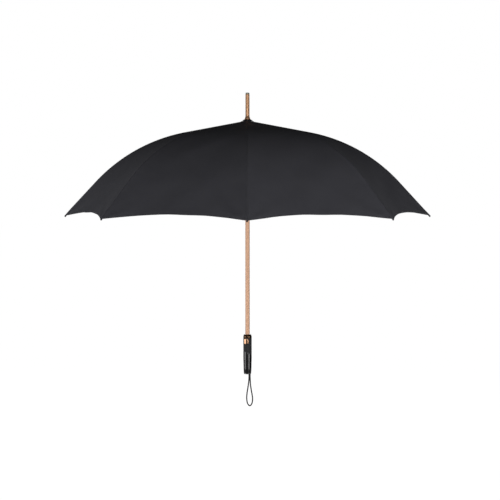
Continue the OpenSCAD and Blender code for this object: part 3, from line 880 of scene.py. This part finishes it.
def makeGripUpper():
    turn = 2 * math.pi * np.arange(handle["sides"]) / handle["sides"]
    edge, r = handle["round"], handle["radius"]
    low = seamHeight(turn, r) + handle["seamGap"]
    rings = []
    for a in np.linspace(0, 90, 5):
        swing = math.radians(a)
        rings.append(ringAt(turn, r - edge * (1 - math.sin(swing)), low + edge * (1 - math.cos(swing))))
    for share in np.linspace(0, 1, 44)[1:]:
        rings.append(ringAt(turn, r, low + edge + share * (collarZ - 2 * edge - low)))
    for a in np.linspace(0, 90, 4)[1:]:
        swing = math.radians(a)
        rings.append(ringAt(turn, r - edge * (1 - math.cos(swing)), collarZ - edge * (1 - math.sin(swing))))
    rings.append(ringAt(turn, handle["bore"], collarZ))
    rings.append(ringAt(turn, handle["bore"], seamHeight(turn, handle["bore"]) + handle["seamGap"]))
    piece = ringLoop("grip_matt", rings, softRubber)
    sides, depths = buttonLook["holeSides"], buttonLook["hole"]
    y, z = buttonOutline(2 * math.pi * np.arange(sides) / sides, buttonLook["gap"])
    cutter = np.array([atButton(x, y, z + buttonLook["z"]) for x in depths]).reshape(-1, 3)
    faces = gridFaces(len(depths), sides, True)
    faces += [list(range(sides - 1, -1, -1)), list(range(len(cutter) - sides, len(cutter)))]
    tool = makePiece("cutter", cutter, faces, softRubber)
    cut = piece.modifiers.new("hole", "BOOLEAN")
    cut.operation, cut.object, cut.solver = "DIFFERENCE", tool, "EXACT"
    done = bpy.data.meshes.new_from_object(piece.evaluated_get(bpy.context.evaluated_depsgraph_get()))
    piece.modifiers.clear()
    piece.data = done
    bpy.data.objects.remove(tool)
    done.polygons.foreach_set("use_smooth", [True] * len(done.polygons))
    done.set_sharp_from_angle(angle=math.radians(30))
    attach(piece, rootBody)
    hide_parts("grip_upper")


def makeButton(look):
    y1, z1 = buttonOutline(2 * math.pi * np.arange(look["sides"]) / look["sides"])
    rings = []
    for share in (0.02, 0.15, 0.3, 0.45, 0.6, 0.7, 0.78, 0.84, 0.88, 0.91, 0.935, 0.955, 0.972, 0.985,
                  0.995, 1):
        y, z = y1 * share, z1 * share
        x = np.sqrt(look["out"] ** 2 - y ** 2) - look["dome"] * share ** 2
        x = x - quarterDrop((1 - share) * look["wide"] / 2, look["round"], look["round"])
        rings.append(atButton(x, y, z + look["z"]))
    for x in (look["shoulder"], look["back"]):
        rings.append(atButton(np.full_like(y1, x), y1, z1 + look["z"]))
    points = np.array(rings)
    rows, cols = points.shape[:2]
    faces = gridFaces(rows, cols, True, flip=True)
    faces += [list(range(cols)), list(range(rows * cols - 1, (rows - 1) * cols - 1, -1))]
    piece = makePiece("button", points.reshape(-1, 3), faces, polishedGold, "push_button", crease=50)
    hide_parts("push_button")


makeGripLower()
makeGripUpper()
makeButton(buttonLook)
# the collar wears the rose gold with painted shade
collar = lathe("collar", rounded([
    (handle["bore"], collarZ + 0.00008), (handle["radius"] - 0.0001, collarZ + 0.00008),
    (handle["radius"] - 0.0001, gripTop - 0.004), (handle["radius"] - 0.002, gripTop),
    (handle["bore"], gripTop),
], [0, 0.0004, 0.0012, 0.0008, 0]), collarShadedGold, loop=True, sides=128)
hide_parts("handle_collar")
print("handle made")

# ---- opening spring ----
springLook = {"radius": 0.00795, "wire": 0.00045, "turns": 20, "perTurn": 24, "sides": 8}


def makeSpring(look):
    low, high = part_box("opening_spring")
    z0, z1 = low.z + look["wire"], high.z - look["wire"]
    t = np.linspace(0, 1, look["turns"] * look["perTurn"] + 1)
    angle = 2 * math.pi * look["turns"] * t
    lean = np.clip((t - 0.02) / 0.96, 0, 1)   # the end turns lie flat
    r, z = look["radius"], z0 + (z1 - z0) * lean
    path = np.stack([r * np.cos(angle), r * np.sin(angle), z], -1)
    points, faces, uv = tubeAlong(path, look["wire"], look["sides"])
    piece = makePiece("opening_spring_wire", points, faces, steel, crease=60, uv=uv)
    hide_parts("opening_spring")
    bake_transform(piece)


makeSpring(springLook)
print("spring made")


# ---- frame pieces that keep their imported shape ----
def looseParts(mesh):
    # a number for each face's loose part, largest part first
    places = {}
    ids = [places.setdefault(tuple(round(x, 6) for x in v.co), len(places)) for v in mesh.vertices]
    parent = list(range(len(places)))

    def top(i):
        while parent[i] != i:
            parent[i] = parent[parent[i]]
            i = parent[i]
        return i

    for face in mesh.polygons:
        first = top(ids[face.vertices[0]])
        for v in face.vertices[1:]:
            parent[top(ids[v])] = first
    spans = {}
    for v, i in zip(mesh.vertices, ids):
        low, high = spans.setdefault(top(i), (Vector(v.co), Vector(v.co)))
        spans[top(i)] = (Vector(map(min, low, v.co)), Vector(map(max, high, v.co)))
    order = sorted(spans, key=lambda t: -(spans[t][1] - spans[t][0]).length)
    return [order.index(top(ids[face.vertices[0]])) for face in mesh.polygons]


def dressNode(name, finishes):
    mesh = nodes[name].data
    mesh.materials.clear()
    for finish in finishes:
        mesh.materials.append(finish)
    if len(finishes) > 1:
        mesh.polygons.foreach_set("material_index", [min(p, len(finishes) - 1) for p in looseParts(mesh)])


dressNode("shaft", [roseGold])
for name in ("crown", "runner", "spring_seat"):
    dressNode(name, [mouldPlastic])
for name in ("crown_wire", "runner_wire", "button_spring"):
    dressNode(name, [steel])
for name in ("handle_pins", "latch"):
    dressNode(name, [steel])
dressNode("grip_end_cap", [glossGrip])
for k in range(1, canopy["count"] + 1):
    dressNode(f"rib_inner_{k}", [rodPaint, steel])
    dressNode(f"rib_outer_{k}", [rodPaint, capPlastic])
    dressNode(f"stretcher_{k}", [rodPaint])
print("frame dressed")

# ---- studio ----
studio = {
    "floorZ": -0.62, "floorHalf": 30, "floorTone": (0.25, 0.25, 0.25), "floorGlow": (0.03, 0.03, 0.03),
    "back": 1.0, "fill": (0.05, 0.015),
    "lights": [
        # aims are heights on the shaft's axis, sizes are width and height, powers are watts
        {"name": "left box", "place": (-2.45, -0.9, -0.08), "aim": 0.3, "size": (2.1, 1.05), "power": 34},
        {"name": "right box", "place": (1.75, -1.85, -0.08), "aim": 0.3, "size": (1.5, 1.05), "power": 27},
        {"name": "top box", "place": (0, -0.1, 1.9), "aim": 0.7, "size": (0.9, 0.9), "power": 0.45},
        {"name": "back box", "place": (0.3, 3.4, 0.2), "aim": 0.5, "size": (2.6, 0.8), "power": 26},
        {"name": "front box", "place": (0.1, -4.3, 0.3), "aim": 0.5, "size": (2.2, 0.9), "power": 60},
        {"name": "left rim", "place": (-2.3, 1.4, 0.2), "aim": 0.3, "size": (1.4, 0.7), "power": 7},
        {"name": "right rim", "place": (2.3, 1.4, 0.2), "aim": 0.3, "size": (1.4, 0.7), "power": 7},
    ],
}


def makeStudio(look):
    wide, low = look["floorHalf"], look["floorZ"]
    mesh = bpy.data.meshes.new("floor")
    mesh.from_pydata([(-wide, -wide, low), (wide, -wide, low), (wide, wide, low), (-wide, wide, low)], [],
                     [(0, 1, 2, 3)])
    shade = Shade("pale floor", {"Roughness": 0.9, "Emission Strength": 1.0})
    seen = shade.add("ShaderNodeLightPath").out("Is Camera Ray")
    shade.feed("Base Color", shade.mix(seen, look["floorTone"], (0.0, 0.0, 0.0)))
    shade.feed("Emission Color", shade.mix(seen, look["floorGlow"], (1.0, 1.0, 1.0)))
    mesh.materials.append(shade.finish)
    floor = bpy.data.objects.new("floor", mesh)
    scene.collection.objects.link(floor)
    world = bpy.data.worlds.new("studio")
    scene.world = world
    world.use_nodes = True
    tree = world.node_tree
    sky = tree.nodes["Background"]
    sky.inputs["Color"].default_value = (1, 1, 1, 1)
    seen = tree.nodes.new("ShaderNodeLightPath")
    where, parts = tree.nodes.new("ShaderNodeTexCoord"), tree.nodes.new("ShaderNodeSeparateXYZ")
    tree.links.new(where.outputs["Generated"], parts.inputs[0])
    fill, reach = tree.nodes.new("ShaderNodeMapRange"), tree.nodes.new("ShaderNodeMapRange")
    for node, wire, values in ((fill, parts.outputs["Z"], (-0.3, 0.5, *look["fill"])),
                               (reach, seen.outputs["Is Camera Ray"], (0, 1, 0, look["back"]))):
        tree.links.new(wire, node.inputs[0])
        for at, value in enumerate(values):
            node.inputs[at + 1].default_value = value
    tree.links.new(fill.outputs[0], reach.inputs[3])
    tree.links.new(reach.outputs[0], sky.inputs["Strength"])
    for box in look["lights"]:
        data = bpy.data.lights.new(box["name"], "AREA")
        data.shape, (data.size, data.size_y), data.energy = "RECTANGLE", box["size"], box["power"]
        light = bpy.data.objects.new(box["name"], data)
        scene.collection.objects.link(light)
        light.visible_camera = False
        place = Vector(box["place"])
        light.location = place
        light.rotation_euler = (Vector((0, 0, box["aim"])) - place).to_track_quat("-Z", "Y").to_euler()
    scene.view_settings.view_transform = "Standard"


makeStudio(studio)
print("studio made")

bpy.context.view_layer.update()
